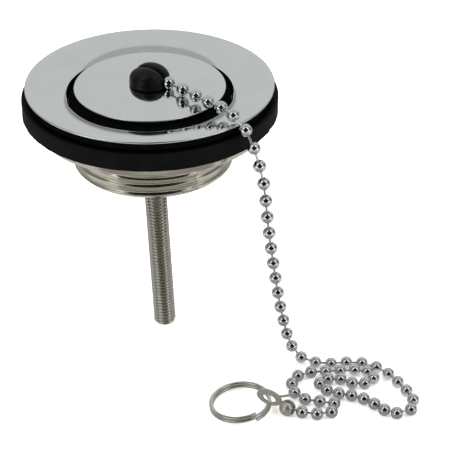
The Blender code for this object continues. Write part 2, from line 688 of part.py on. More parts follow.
def split_ring(mat, parent):
    """Two turns of round wire wound flat on each other, with cut ends, through the eye."""
    away = (EYE_PLACE - RING_PLACE).normalized()
    radial = Vector((away.x, away.y, 0.0))
    wire = Vector((-away.y, away.x, 0.0))
    curve = bpy.data.curves.new("split_ring", "CURVE")
    curve.dimensions = "3D"
    curve.bevel_depth = RING_WIRE / 2
    curve.bevel_resolution = 2
    curve.use_fill_caps = True
    steps = 26 * RING_TURNS
    rise = RING_WIRE + RING_TURN_GAP
    start = math.radians(300.0)
    tilt = Matrix.Rotation(-RING_TILT, 3, wire)
    spline = curve.splines.new("POLY")
    spline.points.add(steps)
    for i, point in enumerate(spline.points):
        turned_by = 2 * math.pi * RING_TURNS * i / steps
        angle = start + turned_by
        level = radial * (RING_RADIUS * (math.cos(angle) - 1.0))
        side = wire * (RING_RADIUS * math.sin(angle))
        height = rise * (turned_by / (2 * math.pi) - RING_TURNS / 2)
        point.co = (*(tilt @ (level + side + Vector((0, 0, height)))), 1.0)
    turn = steps // RING_TURNS
    places = [point.co.xyz for point in spline.points]
    gap = min((a - b).length for a, b in zip(places, places[turn:])) - RING_WIRE
    print(f"split ring: least gap between its turns {gap / MM:.2f} mm")
    ring = bpy.data.objects.new("split_ring", curve)
    bpy.context.collection.objects.link(ring)
    ring.data.materials.append(mat)
    ring.parent = parent
    return ring


def main():
    clear_scene()
    mirror = material("polished_steel", (0.80, 0.81, 0.80), 0.06, 1.0)
    nickel = material("satin_nickel", (0.62, 0.60, 0.54), 0.32, 1.0)
    steel = material("steel", (0.50, 0.50, 0.48), 0.30, 1.0)
    rubber = material("black_rubber", (0.012, 0.012, 0.013), 0.55, 0.0)
    chrome = material("chrome", (0.72, 0.73, 0.75), 0.10, 1.0)
    zinc = material("zinc_plate", (0.58, 0.57, 0.53), 0.30, 1.0)

    flange_plate(mirror)
    strainer_grid(mirror)
    top_seal(rubber)

    drain_axis = empty("drain_axis", (0, 0, 0))
    sink_gasket(rubber, drain_axis)
    waste_body(nickel, drain_axis)

    screw_axis = empty("screw_axis", SCREW_PIVOT)
    screw_axis.rotation_euler = (0.0, -SCREW_LEAN, 0.0)
    bpy.context.view_layer.update()
    centre_screw(steel, screw_axis)

    plug_axis = empty("plug_axis", (0, 0, 0))
    plug_cap(mirror, plug_axis)
    plug_seal(rubber, plug_axis)
    chain_knob(rubber, plug_axis)
    last_beads = bead_chain(chrome, plug_axis)

    cup_axis = empty("cup_axis", CUP_MIDDLE)
    eye_axis = empty("eye_axis", RING_AT_EYE)
    bpy.context.view_layer.update()
    chain_connector(zinc, last_beads, cup_axis)
    split_ring(zinc, eye_axis)


main()
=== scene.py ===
"""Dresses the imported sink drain: polished flange, threaded waste body, plug and bead chain."""
import math

import bmesh
import bpy
import numpy as np
from bpy.props import FloatProperty, FloatVectorProperty, IntProperty, PointerProperty
from mathutils import Matrix, Vector


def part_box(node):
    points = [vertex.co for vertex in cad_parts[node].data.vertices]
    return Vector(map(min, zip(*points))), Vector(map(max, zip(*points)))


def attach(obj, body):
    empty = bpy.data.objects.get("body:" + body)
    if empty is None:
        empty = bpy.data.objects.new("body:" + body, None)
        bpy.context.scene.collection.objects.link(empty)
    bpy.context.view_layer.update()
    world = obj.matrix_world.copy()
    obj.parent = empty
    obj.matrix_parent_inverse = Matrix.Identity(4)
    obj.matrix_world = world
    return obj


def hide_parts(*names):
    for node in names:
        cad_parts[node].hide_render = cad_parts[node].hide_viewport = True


bl_info = {
    "name": "Sink drain dressing",
    "version": (1, 0, 0),
    "blender": (4, 5, 0),
    "location": "View3D > Sidebar > Drain",
    "description": "Builds the visible surfaces of a sink drain with its plug and bead chain",
    "category": "Object",
}

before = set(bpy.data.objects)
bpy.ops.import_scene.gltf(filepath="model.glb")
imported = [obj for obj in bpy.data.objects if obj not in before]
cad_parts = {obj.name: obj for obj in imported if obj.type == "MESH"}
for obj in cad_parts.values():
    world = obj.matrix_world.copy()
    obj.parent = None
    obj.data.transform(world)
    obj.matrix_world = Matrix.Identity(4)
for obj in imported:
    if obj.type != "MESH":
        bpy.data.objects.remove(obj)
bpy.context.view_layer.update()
MM = 0.001
TAU = 2.0 * math.pi
UP = np.array((0.0, 0.0, 1.0))

PLATE_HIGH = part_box("flange_plate")[1]
SCREW_LOW, SCREW_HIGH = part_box("centre_screw")
FLOOR = SCREW_LOW.z

# Route of the chain in millimetres: the middles of chosen balls, from the knob to the cup.
# Each stretch takes up the route where the one before stops, and holds a stated count of balls.
FLANGE_ROUTE = ((0.5, -0.3, 3.6), (5.0, -3.1, 3.45), (8.1, -6.4, 3.35), (11.2, -10.2, 3.5),
                (14.1, -14.4, 3.8), (17.2, -18.5, 4.3), (20.0, -22.8, 4.3), (22.9, -26.2, 1.9))
HANGING_ROUTE = ((25.0, -27.4, -2.8), (27.3, -28.2, -11.8), (28.3, -27.9, -21.2),
                 (29.5, -27.0, -31.2), (30.9, -25.9, -41.4), (32.5, -24.8, -51.6),
                 (34.6, -23.4, -61.6), (36.2, -22.6, -66.4), (38.7, -22.2, -70.2))
OUTER_ROUTE = ((42.2, -24.0), (46.1, -24.8), (50.9, -24.5), (55.4, -25.2), (59.3, -27.8),
               (62.1, -31.4), (63.9, -35.3), (65.6, -39.1), (66.1, -43.0), (64.4, -45.9),
               (61.1, -46.7))
INNER_ROUTE = ((58.1, -45.2), (55.2, -41.9), (51.7, -39.3), (48.3, -38.3), (45.4, -37.0),
               (43.1, -35.2), (42.7, -32.6), (45.1, -31.4), (48.2, -31.7), (51.0, -33.5),
               (54.3, -34.0), (57.0, -31.9), (55.8, -28.9), (52.5, -28.0))
END_ROUTE = ((47.8, -28.1), (43.5, -28.1), (39.2, -28.6), (36.1, -30.8), (35.1, -34.6),
             (36.3, -38.1), (39.2, -40.4), (42.7, -41.0), (45.5, -42.0), (44.9, -45.0),
             (41.7, -46.0), (37.4, -45.3))
BALL_COUNTS = (8, 15, 11, 14, 13)
BALL_RADIUS = 1.65
BALL_LEVEL = FLOOR / MM + BALL_RADIUS

# The screw turns about a line that leans a little from the drain's axis. The bridge's level is
# its middle's, and the boss lies its drop below the pivot, along the screw.
SCREW_LEAN = math.radians(2.45)
SCREW_PIVOT = np.array((-0.5, 0.0, -2.0)) * MM
SCREW_LENGTH = 65.0 * MM
BRIDGE_LEVEL = -16.58 * MM
BOSS_DROP = -14.6 * MM

# The connector and the ring that goes through its eye
CUP_MIDDLE = np.array((33.1 * MM, -43.8 * MM, FLOOR + 2.2 * MM))
EYE_MIDDLE = np.array((28.7 * MM, -40.8 * MM, FLOOR + 3.15 * MM))
EYE_NORMAL = np.array((-0.42, -0.85, -0.32))
RING_PLACE = np.array((21.1, -40.65)) * MM
RING_TILT = math.radians(6.6)

PICTURE_PIXELS = 452.0
SENSOR_WIDTH = 36.0


def smooth_route(points, steps=12):
    """Catmull-Rom curve through every point.

    Between b and c, with a before and d after, it is half of
    2 b + (c - a) t + (2 a - 5 b + 4 c - d) t^2 + (3 b - a - 3 c + d) t^3.
    """
    padded = np.vstack([2 * points[:1] - points[1:2], points, 2 * points[-1:] - points[-2:-1]])
    spans = len(points) - 1
    a, b, c, d = (padded[i:i + spans, None, :] for i in range(4))
    t = np.linspace(0.0, 1.0, steps, endpoint=False)[None, :, None]
    curve = 0.5 * (2 * b + (c - a) * t + (2 * a - 5 * b + 4 * c - d) * t ** 2
                   + (3 * b - a - 3 * c + d) * t ** 3)
    return np.vstack([curve.reshape(-1, 3), points[-1:]])


def even_points(curve, count):
    """Points at equal lengths along a curve, both ends with them."""
    length = np.append(0.0, np.cumsum(np.linalg.norm(np.diff(curve, axis=0), axis=1)))
    wanted = np.linspace(0.0, length[-1], count)
    return np.stack([np.interp(wanted, length, column) for column in curve.T], axis=-1)


def ball_middles():
    """Middles of all the chain's balls in metres, from the one in the knob to the one in the cup."""
    floor_routes = [[(x, y, BALL_LEVEL) for x, y in route]
                    for route in (OUTER_ROUTE, INNER_ROUTE, END_ROUTE)]
    floor_routes[-1].append(tuple(CUP_MIDDLE / MM))
    stretches = [even_points(smooth_route(np.array(FLANGE_ROUTE)), BALL_COUNTS[0])]
    for route, count in zip([HANGING_ROUTE, *floor_routes], BALL_COUNTS[1:]):
        points = np.vstack([stretches[-1][-1:], np.array(route)])
        stretches.append(even_points(smooth_route(points), count + 1)[1:])
    return np.concatenate(stretches) * MM


BALLS = ball_middles()


def size_property(name, description, metres):
    return FloatProperty(name=name, description=description, default=metres, unit="LENGTH")


def colour_property(name, description, value):
    return FloatVectorProperty(name=name, description=description, default=value, subtype="COLOR")


class DrainSizes(bpy.types.PropertyGroup):
    """Sizes that a maker of the part would change."""
    plate_radius: size_property("Plate radius", "Outside of the polished flange", PLATE_HIGH.x)
    plate_height: size_property("Plate height", "Top of the rim over the sink", PLATE_HIGH.z)
    pipe_pitch: size_property("Pipe thread pitch", "Between crests on the collar", 2.309 * MM)
    pipe_depth: size_property("Pipe thread depth", "Depth of the collar's groove", 0.44 * MM)
    screw_radius: size_property("Screw radius", "Outside of the centre screw", 3.0 * MM)
    screw_pitch: size_property("Screw pitch", "Between crests on the screw", 1.0 * MM)
    bead_radius: size_property("Bead radius", "Radius of the hollow balls", BALL_RADIUS * MM)
    link_radius: size_property("Link radius", "Radius of the pins between the balls", 0.32 * MM)
    ring_radius: size_property("Ring radius", "Middle radius of the split ring", 7.6 * MM)
    ring_turns: IntProperty(
        name="Ring turns", description="Turns of wire in the split ring", default=2, min=1)


class DrainFinish(bpy.types.PropertyGroup):
    """Colours of the finishes, as linear values."""
    polished: colour_property("Polished steel", "Flange and plug disc", (0.80, 0.82, 0.81))
    nickel: colour_property("Satin nickel", "Waste body", (0.66, 0.63, 0.55))
    steel: colour_property("Screw steel", "Centre screw", (0.56, 0.54, 0.48))
    chrome: colour_property("Bright plate", "Bead chain", (0.76, 0.77, 0.79))
    zinc: colour_property("Zinc plate", "Connector and split ring", (0.80, 0.79, 0.72))
    rubber: colour_property("Black rubber", "Seal, stopper and knob", (0.002, 0.002, 0.002))
    gasket: colour_property("Charcoal rubber", "Gasket under the sink", (0.003, 0.003, 0.0032))


# Shader helpers


def feed(tree, socket, value):
    """Links a socket to value where value is a socket, and otherwise sets it."""
    if isinstance(value, bpy.types.NodeSocket):
        tree.links.new(value, socket)
    else:
        socket.default_value = value


def new_node(tree, kind, *values, **named):
    """A shader node. Values go to its first inputs in order, and named ones to the inputs so named."""
    node = tree.nodes.new("ShaderNode" + kind)
    for socket, value in zip(node.inputs, values):
        feed(tree, socket, value)
    for name, value in named.items():
        feed(tree, node.inputs[name.replace("_", " ")], value)
    return node


def calc(tree, operation, *values):
    """One Math node, given sockets or numbers."""
    node = tree.nodes.new("ShaderNodeMath")
    node.operation = operation
    for socket, value in zip(node.inputs, values):
        feed(tree, socket, value)
    return node.outputs[0]


def split_axes(tree, vector):
    """The x, y and z sockets of a vector."""
    return new_node(tree, "SeparateXYZ", vector).outputs


def ramp_between(tree, value, low, high):
    """Smooth step from 0 where value is low to 1 where it is high."""
    node = new_node(tree, "MapRange", Value=value, From_Min=low, From_Max=high)
    node.interpolation_type = "SMOOTHSTEP"
    return node.outputs["Result"]


def grey(level):
    """A neutral colour."""
    return (level, level, level, 1.0)


def mix_colour(tree, factor, first, second):
    """The first colour at factor 0, the second at 1."""
    node = tree.nodes.new("ShaderNodeMix")
    node.data_type = "RGBA"
    feed(tree, node.inputs[0], factor)
    feed(tree, node.inputs[6], first)
    feed(tree, node.inputs[7], second)
    return node.outputs[2]


def noise(tree, vector, scale, detail, roughness):
    """Noise between about 0.2 and 0.8."""
    return new_node(tree, "TexNoise", Vector=vector, Scale=scale, Detail=detail,
                    Roughness=roughness).outputs["Fac"]


def new_group(name, inputs, outputs):
    """An empty shader group with its sockets. Gives the tree and its two end nodes."""
    tree = bpy.data.node_groups.new(name, "ShaderNodeTree")
    for label, kind, value in inputs:
        socket = tree.interface.new_socket(label, in_out="INPUT", socket_type=kind)
        if value is not None:
            socket.default_value = value
    for label, kind in outputs:
        tree.interface.new_socket(label, in_out="OUTPUT", socket_type=kind)
    return tree, tree.nodes.new("NodeGroupInput"), tree.nodes.new("NodeGroupOutput")


def turned_grain_group():
    """Lathe marks: noise that is stretched round the drain's axis, from radius, height and angle."""
    tree, source, sink = new_group(
        "Turned grain",
        [("Vector", "NodeSocketVector", None), ("Rings", "NodeSocketFloat", 9000.0)],
        [("Height", "NodeSocketFloat"), ("Mask", "NodeSocketFloat")])
    x, y, z = split_axes(tree, source.outputs["Vector"])
    radius = calc(tree, "SQRT", calc(tree, "ADD", calc(tree, "MULTIPLY", x, x),
                                     calc(tree, "MULTIPLY", y, y)))
    angle = calc(tree, "ARCTAN2", y, x)
    rings = source.outputs["Rings"]
    join = new_node(tree, "CombineXYZ", calc(tree, "MULTIPLY", radius, rings),
                    calc(tree, "MULTIPLY", z, rings), calc(tree, "MULTIPLY", angle, 0.35))
    fine = noise(tree, join.outputs[0], 1.0, 2.0, 0.6)
    broad = noise(tree, join.outputs[0], 0.18, 2.0, 0.5)
    feed(tree, sink.inputs["Height"], calc(tree, "ADD", fine, calc(tree, "MULTIPLY", broad, 0.6)))
    feed(tree, sink.inputs["Mask"], ramp_between(tree, broad, 0.35, 0.65))
    return tree


def handled_group():
    """Marks of handling: broad smears, and fine short scratches in two directions."""
    tree, source, sink = new_group(
        "Handled surface",
        [("Vector", "NodeSocketVector", None), ("Scale", "NodeSocketFloat", 120.0)],
        [("Smear", "NodeSocketFloat"), ("Scratch", "NodeSocketFloat")])
    vector, scale = source.outputs["Vector"], source.outputs["Scale"]
    smear = noise(tree, vector, scale, 4.0, 0.6)
    feed(tree, sink.inputs["Smear"], ramp_between(tree, smear, 0.38, 0.68))
    marks = []
    for turn, stretch in ((0.5, 26.0), (-0.9, 34.0)):
        place = new_node(tree, "Mapping", Vector=vector, Rotation=(0.3, 0.2, turn),
                         Scale=(1.0, stretch, 6.0))
        lines = noise(tree, place.outputs[0], calc(tree, "MULTIPLY", scale, 1.3), 1.0, 0.4)
        marks.append(ramp_between(tree, lines, 0.68, 0.74))
    feed(tree, sink.inputs["Scratch"], calc(tree, "MAXIMUM", *marks))
    return tree


def skin_group():
    """Skin of moulded rubber: fine grain, and broader dull patches."""
    tree, source, sink = new_group(
        "Moulded skin",
        [("Vector", "NodeSocketVector", None), ("Scale", "NodeSocketFloat", 2500.0)],
        [("Height", "NodeSocketFloat"), ("Bloom", "NodeSocketFloat")])
    vector, scale = source.outputs["Vector"], source.outputs["Scale"]
    grain = noise(tree, vector, scale, 3.0, 0.6)
    broad = noise(tree, vector, calc(tree, "MULTIPLY", scale, 0.09), 4.0, 0.6)
    feed(tree, sink.inputs["Height"], calc(tree, "ADD", grain, calc(tree, "MULTIPLY", broad, 1.5)))
    feed(tree, sink.inputs["Bloom"], ramp_between(tree, broad, 0.42, 0.70))
    return tree


def use_group(tree, name, maker, vector, **values):
    """The outputs of a shader group, which its maker builds when it is first asked for."""
    node = tree.nodes.new("ShaderNodeGroup")
    node.node_tree = bpy.data.node_groups.get(name) or maker()
    feed(tree, node.inputs["Vector"], vector)
    for label, value in values.items():
        feed(tree, node.inputs[label], value)
    return node.outputs


def plain_material(name):
    """A new material with its tree, its shader and Object coordinates."""
    mat = bpy.data.materials.new(name)
    mat.use_nodes = True
    tree = mat.node_tree
    return mat, tree, tree.nodes["Principled BSDF"], new_node(tree, "TexCoord").outputs["Object"]


def add_bump(tree, shader, height, distance):
    """Fine relief, distance metres deep where height is 1."""
    bump = new_node(tree, "Bump", Strength=1.0, Distance=distance, Height=height)
    feed(tree, shader.inputs["Normal"], bump.outputs[0])


def metal(name, colour, roughness, smear, depth, tint, scale=120.0, grain=None):
    """Bare or plated metal, with lathe marks where grain gives their rings per metre.

    Smear is the roughness that handling adds, depth that of the fine relief, and tint the
    share of the colour that dull patches lack.
    """
    mat, tree, shader, place = plain_material(name)
    shader.inputs["Metallic"].default_value = 1.0
    handled = use_group(tree, "Handled surface", handled_group, place, Scale=scale)
    base = (*colour, 1.0)
    dull = (*(c * (1.0 - tint) for c in colour), 1.0)
    rough = calc(tree, "MULTIPLY_ADD", handled["Smear"], smear, roughness)
    if grain:
        turned = use_group(tree, "Turned grain", turned_grain_group, place, Rings=grain)
        feed(tree, shader.inputs["Base Color"], mix_colour(tree, turned["Mask"], base, dull))
        add_bump(tree, shader, turned["Height"], depth)
    else:
        feed(tree, shader.inputs["Base Color"], mix_colour(tree, handled["Smear"], base, dull))
        height = calc(tree, "MULTIPLY_ADD", handled["Scratch"], -0.6, handled["Smear"])
        add_bump(tree, shader, height, depth)
    rough = calc(tree, "MULTIPLY_ADD", handled["Scratch"], 1.5 * smear, rough)
    feed(tree, shader.inputs["Roughness"], rough)
    return mat


def rubber(name, colour, roughness, bloom, depth, shine, painted_shade_above=None):
    """Moulded rubber with a faint pale bloom, painted near black above a given height as painted shade.

    Depth is that of the skin's relief, and shine the shader's specular level.
    """
    mat, tree, shader, place = plain_material(name)
    shader.inputs["Specular IOR Level"].default_value = shine
    skin = use_group(tree, "Moulded skin", skin_group, place)
    pale = (*(c + bloom for c in colour), 1.0)
    shown = mix_colour(tree, skin["Bloom"], (*colour, 1.0), pale)
    if painted_shade_above is not None:
        # Painted shade: above the given height the colour turns near black instead of the rubber's own
        # colour and bloom
        height = split_axes(tree, place)[2]
        painted_shade = ramp_between(tree, height, painted_shade_above - 0.05 * MM, painted_shade_above + 0.1 * MM)
        shown = mix_colour(tree, painted_shade, shown, grey(0.0005))
    feed(tree, shader.inputs["Base Color"], shown)
    feed(tree, shader.inputs["Roughness"], calc(tree, "MULTIPLY_ADD", skin["Bloom"], 0.15, roughness))
    add_bump(tree, shader, skin["Height"], depth)
    return mat


def mirror_steel(finish):
    """Polish of the plate and of the plug's disc."""
    return bpy.data.materials.get("mirror_steel") or metal(
        "mirror_steel", finish.polished, 0.05, smear=0.03, depth=0.0012 * MM, tint=0.03)


def matt_rubber(finish):
    """Rubber of the top seal and of the stopper."""
    return bpy.data.materials.get("matt_rubber") or rubber(
        "matt_rubber", finish.rubber, 0.36, bloom=0.001, depth=0.004 * MM, shine=0.0)


# Surface helpers


def rounded_profile(corners, steps):
    """A closed (radius, height) outline in metres from (r, z, fillet) corners in millimetres.

    Each corner gives way to an arc that touches its two sides: the arc's middle lies on the
    corner's bisector, fillet / sin(half angle) away, and it is swept by the turning angle in
    the given steps.
    """
    given = np.array(corners, float) * MM
    corner, fillet = given[:, :2], given[:, 2]
    back = np.roll(corner, 1, axis=0) - corner
    ahead = np.roll(corner, -1, axis=0) - corner
    length_back = np.linalg.norm(back, axis=1)
    length_ahead = np.linalg.norm(ahead, axis=1)
    back /= length_back[:, None]
    ahead /= length_ahead[:, None]
    half = 0.5 * np.arccos(np.clip((back * ahead).sum(axis=1), -0.999999, 0.999999))
    reach = np.minimum(fillet / np.tan(half), 0.49 * np.minimum(length_back, length_ahead))
    bisector = back + ahead
    bisector /= np.maximum(np.linalg.norm(bisector, axis=1), 1e-9)[:, None]
    middle = corner + bisector * (reach / np.cos(half))[:, None]
    sweep = np.maximum(math.pi - 2 * half, 1e-4)
    part = np.linspace(0.0, 1.0, steps)
    first = (np.sin((1 - part)[None, :] * sweep[:, None]) / np.sin(sweep)[:, None])[..., None]
    second = (np.sin(part[None, :] * sweep[:, None]) / np.sin(sweep)[:, None])[..., None]
    start = (corner + back * reach[:, None] - middle)[:, None, :]
    end = (corner + ahead * reach[:, None] - middle)[:, None, :]
    outline = (middle[:, None, :] + first * start + second * end).reshape(-1, 2)
    step = np.linalg.norm(outline - np.roll(outline, 1, axis=0), axis=1)
    return outline[step > 1e-7]


def dense_outline(outline, spacing):
    """The same closed outline with extra points on its long sides, no further apart than spacing."""
    ahead = np.roll(outline, -1, axis=0)
    count = np.maximum(1, np.ceil(np.linalg.norm(ahead - outline, axis=1) / spacing)).astype(int)
    index = np.repeat(np.arange(len(outline)), count)
    order = np.arange(count.sum()) - np.repeat(np.cumsum(count) - count, count)
    part = (order / count[index])[:, None]
    return outline[index] * (1 - part) + ahead[index] * part


def revolved(outline, segments):
    """Points (r cos t, r sin t, z) for every outline point and every angle t of a full turn."""
    angle = np.linspace(0.0, TAU, segments, endpoint=False)
    radius, height = outline[:, :1], outline[:, 1:]
    return np.stack([radius * np.cos(angle), radius * np.sin(angle), height + 0 * angle], axis=-1)


def grid_faces(rows, columns, close_rows, first):
    """Four-sided faces between neighbouring points of a grid whose rows are rings of points."""
    row = np.arange(rows if close_rows else rows - 1)[:, None]
    column = np.arange(columns)[None, :]
    next_row, next_column = (row + 1) % rows, (column + 1) % columns
    corners = (row * columns + column, row * columns + next_column,
               next_row * columns + next_column, next_row * columns + column)
    return first + np.stack(np.broadcast_arrays(*corners), axis=-1).reshape(-1, 4)


def make_piece(name, parts, material, body, nodes, sharp=38.0):
    """One object from grids of points. Parts holds each grid, and whether its last row joins its first.

    An open grid's two end rings are filled. Nodes are the solids that the object stands for.
    """
    points, faces, first = [], [], 0
    for grid, close_rows in parts:
        rows, columns = grid.shape[:2]
        points.append(grid.reshape(-1, 3))
        faces.append(grid_faces(rows, columns, close_rows, first))
        first += rows * columns
    mesh = bpy.data.meshes.new(name)
    mesh.from_pydata(np.concatenate(points).tolist(), [], np.concatenate(faces).tolist())
    work = bmesh.new()
    work.from_mesh(mesh)
    bmesh.ops.remove_doubles(work, verts=work.verts, dist=1e-7)
    bmesh.ops.holes_fill(work, edges=[e for e in work.edges if e.is_boundary], sides=0)
    bmesh.ops.recalc_face_normals(work, faces=work.faces)
    work.to_mesh(mesh)
    work.free()
    mesh.shade_smooth()
    mesh.set_sharp_from_angle(angle=math.radians(sharp))
    piece = bpy.data.objects.new(name, mesh)
    bpy.context.collection.objects.link(piece)
    mesh.materials.append(material)
    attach(piece, body)
    if nodes:
        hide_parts(*nodes)
    return piece


def round_axis(grid):
    """Each point's distance from the upright axis, and its angle round it."""
    return np.hypot(grid[..., 0], grid[..., 1]), np.arctan2(grid[..., 1], grid[..., 0])


def stretched(grid, change):
    """Moves each point out from the upright axis by its change."""
    grid = grid.copy()
    grid[..., :2] *= (1.0 + change / np.maximum(round_axis(grid)[0], 1e-6))[..., None]
    return grid


def thread_form(turns, crest, root):
    """Depth share from 0 at a crest to 1 at a root, for a count of turns: straight flanks, rounded.

    Crest and root are the shares of the pitch that each of them takes up.
    """
    slope = 1.0 - np.abs(2.0 * (turns % 1.0) - 1.0)
    share = np.clip((slope - crest) / (1.0 - crest - root), 0.0, 1.0)
    return 0.65 * share + 0.35 * (0.5 - 0.5 * np.cos(math.pi * share))


def fade(value, low, high):
    """Smooth step from 0 at low to 1 at high."""
    part = np.clip((value - low) / (high - low), 0.0, 1.0)
    return part * part * (3.0 - 2.0 * part)


def unit(vector):
    """The same direction with length 1."""
    return np.asarray(vector, float) / np.linalg.norm(vector)


def facing(normal):
    """Three unit vectors: one level and across, one that points most upward, and the normal."""
    normal = unit(normal)
    across = unit(np.cross(UP, normal))
    return across, np.cross(normal, across), normal


def square_to(ahead):
    """Two unit vectors square to each row of ahead, the first one level where it can be."""
    hint = np.where(np.abs(ahead[:, 2:]) > 0.9, (0.0, 1.0, 0.0), UP)
    across = np.cross(hint, ahead)
    across /= np.linalg.norm(across, axis=1)[:, None]
    return across, np.cross(ahead, across)


def swept(path, width, height, up, power, segments):
    """A bar along path. Its section is |2a / width|^power + |2b / height|^power = 1, b along up."""
    tangent = np.gradient(path, axis=0)
    tangent /= np.linalg.norm(tangent, axis=1)[:, None]
    side = np.cross(tangent, up)
    side /= np.linalg.norm(side, axis=1)[:, None]
    over = np.cross(side, tangent)
    angle = np.linspace(0.0, TAU, segments, endpoint=False)
    cos, sin = np.cos(angle), np.sin(angle)
    a = np.sign(cos) * np.abs(cos) ** (2.0 / power) * 0.5
    b = np.sign(sin) * np.abs(sin) ** (2.0 / power) * 0.5
    return (path[:, None, :] + side[:, None, :] * a[None, :, None] * width
            + over[:, None, :] * b[None, :, None] * height)


# Stage


def studio_world():
    """White to the camera. Metal sees walls, two lit sheets in front and the dark between them.

    The walls are paler behind and darker far aside and low behind. Rise is the angle up from the
    level in front, over the top, to the level behind. The dark between the sheets is a diamond:
    widest at a rise of 0.5 rad, and closed at -0.5 and 1.5 rad.
    """
    world = bpy.data.worlds.new("Studio")
    world.use_nodes = True
    tree = world.node_tree
    tree.nodes.clear()
    x, y, z = split_axes(tree, new_node(tree, "TexCoord").outputs["Generated"])
    rise = calc(tree, "ARCTAN2", z, calc(tree, "MULTIPLY", y, -1.0))
    aside = calc(tree, "ABSOLUTE", x)
    off_middle = calc(tree, "ABSOLUTE", calc(tree, "SUBTRACT", rise, 0.5))
    width = calc(tree, "MULTIPLY_ADD", off_middle, -0.92, 0.92)
    gap = ramp_between(tree, calc(tree, "SUBTRACT", width, aside), -0.03, 0.04)
    outer = calc(tree, "MINIMUM", calc(tree, "MULTIPLY_ADD", rise, -0.62, 1.35), 0.97)
    sheet = calc(tree, "MULTIPLY", ramp_between(tree, calc(tree, "SUBTRACT", outer, aside), 0.0, 0.09),
                 ramp_between(tree, rise, 1.50, 1.30))
    sheet = calc(tree, "MULTIPLY", sheet, ramp_between(tree, rise, -0.45, -0.40))
    behind = ramp_between(tree, rise, 2.08, 2.18)
    wall = mix_colour(tree, behind, (0.42, 0.43, 0.43, 1.0), (0.60, 0.62, 0.61, 1.0))
    wall = mix_colour(tree, ramp_between(tree, aside, 0.76, 0.92), wall, grey(0.16))
    low = calc(tree, "MULTIPLY", behind, ramp_between(tree, z, 0.22, 0.10))
    wall = mix_colour(tree, low, wall, grey(0.20))
    wall = mix_colour(tree, sheet, wall, (1.55, 1.55, 1.52, 1.0))
    seen = mix_colour(tree, gap, wall, grey(0.012))
    path = new_node(tree, "LightPath").outputs
    polished = calc(tree, "MAXIMUM", path["Is Glossy Ray"], path["Is Transmission Ray"])
    colour = mix_colour(tree, polished, grey(0.60), seen)
    colour = mix_colour(tree, path["Is Camera Ray"], colour, grey(1.0))
    shader = new_node(tree, "Background", Color=colour)
    new_node(tree, "OutputWorld", Surface=shader.outputs[0])
    return world


def floor_material():
    """Pale floor that keeps shadows and can be looked through from below.

    Metal sees it as light grey in front, darker behind the drain, darker still in a wedge that
    widens to the front from under the drain, and nearly black in a wedge far out in front.
    """
    mat = bpy.data.materials.new("pale_floor")
    mat.use_nodes = True
    tree = mat.node_tree
    tree.nodes.clear()
    matt = new_node(tree, "BsdfDiffuse", Color=grey(0.86))
    glow = new_node(tree, "Emission", Color=grey(1.0), Strength=0.32)
    lit = new_node(tree, "AddShader", matt.outputs[0], glow.outputs[0])
    x, y, _ = split_axes(tree, new_node(tree, "TexCoord").outputs["Object"])
    aside = calc(tree, "ABSOLUTE", calc(tree, "ADD", x, -0.011))
    middle = ramp_between(tree, calc(tree, "SUBTRACT", calc(tree, "MULTIPLY", y, -1.25), aside),
                          -0.008, 0.008)
    middle = calc(tree, "MULTIPLY", middle, ramp_between(tree, y, -0.02, -0.03))
    middle = calc(tree, "MULTIPLY", middle, ramp_between(tree, y, -0.15, -0.14))
    far = calc(tree, "MULTIPLY_ADD", y, -0.35, -0.07)
    far = ramp_between(tree, calc(tree, "SUBTRACT", far, calc(tree, "ABSOLUTE", x)), -0.01, 0.02)
    shown = mix_colour(tree, ramp_between(tree, y, 0.01, 0.03), (0.68, 0.68, 0.66, 1.0),
                       (0.42, 0.42, 0.40, 1.0))
    shown = mix_colour(tree, middle, shown, (0.33, 0.32, 0.30, 1.0))
    shown = mix_colour(tree, far, shown, grey(0.012))
    shade = new_node(tree, "Emission", Color=shown)
    glossy = new_node(tree, "LightPath").outputs["Is Glossy Ray"]
    seen = new_node(tree, "MixShader", glossy, lit.outputs[0], shade.outputs[0])
    below = new_node(tree, "NewGeometry").outputs["Backfacing"]
    clear = new_node(tree, "BsdfTransparent")
    side = new_node(tree, "MixShader", below, seen.outputs[0], clear.outputs[0])
    new_node(tree, "OutputMaterial", Surface=side.outputs[0])
    return mat


def aim_camera(place, pitch, yaw, roll, focal_pixels):
    """Camera from its place, its pitch below level, its turn to the right and its roll."""
    data = bpy.data.cameras.new("Camera")
    data.sensor_width = SENSOR_WIDTH
    data.lens = focal_pixels / PICTURE_PIXELS * SENSOR_WIDTH
    data.clip_start = 0.01
    data.clip_end = 20.0
    camera = bpy.data.objects.new("Camera", data)
    bpy.context.scene.collection.objects.link(camera)
    camera.matrix_world = (
        Matrix.Translation(Vector(place)) @ Matrix.Rotation(0.5 * math.pi - pitch, 4, "X")
        @ Matrix.Rotation(-yaw, 4, "Y") @ Matrix.Rotation(roll, 4, "Z"))
    bpy.context.scene.camera = camera


def soft_light(name, place, target, size, power):
    """A square lamp that metal doesn't mirror."""
    data = bpy.data.lights.new(name, "AREA")
    data.shape = "SQUARE"
    data.size = size
    data.energy = power
    lamp = bpy.data.objects.new(name, data)
    bpy.context.scene.collection.objects.link(lamp)
    lamp.location = place
    lamp.rotation_euler = (Vector(target) - Vector(place)).to_track_quat("-Z", "Y").to_euler()
    lamp.visible_glossy = False
    lamp.visible_camera = False


